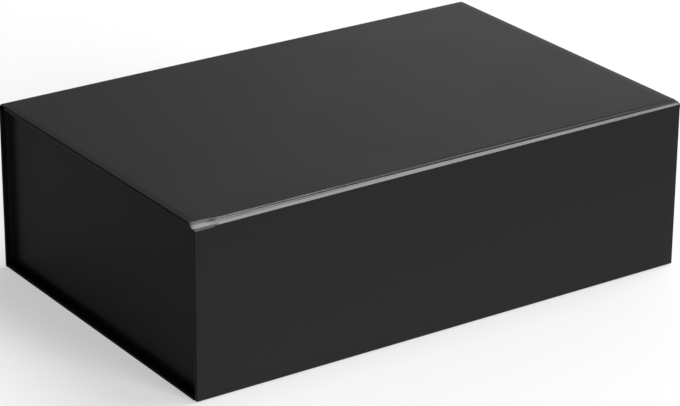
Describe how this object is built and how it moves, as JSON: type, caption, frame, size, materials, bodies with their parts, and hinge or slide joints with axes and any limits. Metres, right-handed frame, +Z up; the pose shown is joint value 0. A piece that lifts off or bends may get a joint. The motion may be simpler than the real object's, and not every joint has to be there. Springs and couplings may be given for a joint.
{
  "type": "hinged lid gift box with magnetic front flap",
  "caption": "Black rigid gift box: a board tray in a book-style cover whose lid folds back and whose front flap is held shut by hidden magnets.",
  "frame": {"origin": "centre of the closed box's footprint, on the table", "axes": "+X along the length of the box, to the right seen from the flap; +Y from the flap to the spine; +Z up"},
  "size_m": [0.33, 0.215, 0.103],
  "materials": {
    "cover_paper": "black art paper with a satin-matte laminating film",
    "lining_paper": "plain black paper, uncoated",
    "greyboard": "raw grey chipboard",
    "corner_tape": "brown gummed kraft tape",
    "magnet": "nickel-plated disc"
  },
  "bodies": {
    "case": {"base_board": "greyboard", "base_wrap": "cover_paper", "spine_board": "greyboard", "spine_wrap": "cover_paper", "spine_lining": "lining_paper", "tray_floor_board": "greyboard", "tray_front_board": "greyboard", "tray_back_board": "greyboard", "tray_left_board": "greyboard", "tray_right_board": "greyboard", "tray_wrap": "cover_paper", "tray_floor_lining": "lining_paper", "corner_tape_front_left": "corner_tape", "corner_tape_front_right": "corner_tape", "corner_tape_back_left": "corner_tape", "corner_tape_back_right": "corner_tape", "tray_magnet_left": "magnet", "tray_magnet_right": "magnet"},
    "lid": {"lid_board": "greyboard", "lid_wrap": "cover_paper", "lid_lining": "lining_paper"},
    "flap": {"flap_board": "greyboard", "flap_wrap": "cover_paper", "flap_lining": "lining_paper", "flap_magnet_left": "magnet", "flap_magnet_right": "magnet"}
  },
  "joints": [
    {"name": "lid_hinge", "type": "hinge", "parent": "case", "child": "lid", "pos_m": [0, 0.10656, 0.10206], "axis": [-1, 0, 0], "range_deg": [0, 180]},
    {"name": "flap_hinge", "type": "hinge", "parent": "lid", "child": "flap", "pos_m": [0, -0.10656, 0.10206], "axis": [-1, 0, 0], "range_deg": [0, 180]}
  ]
}
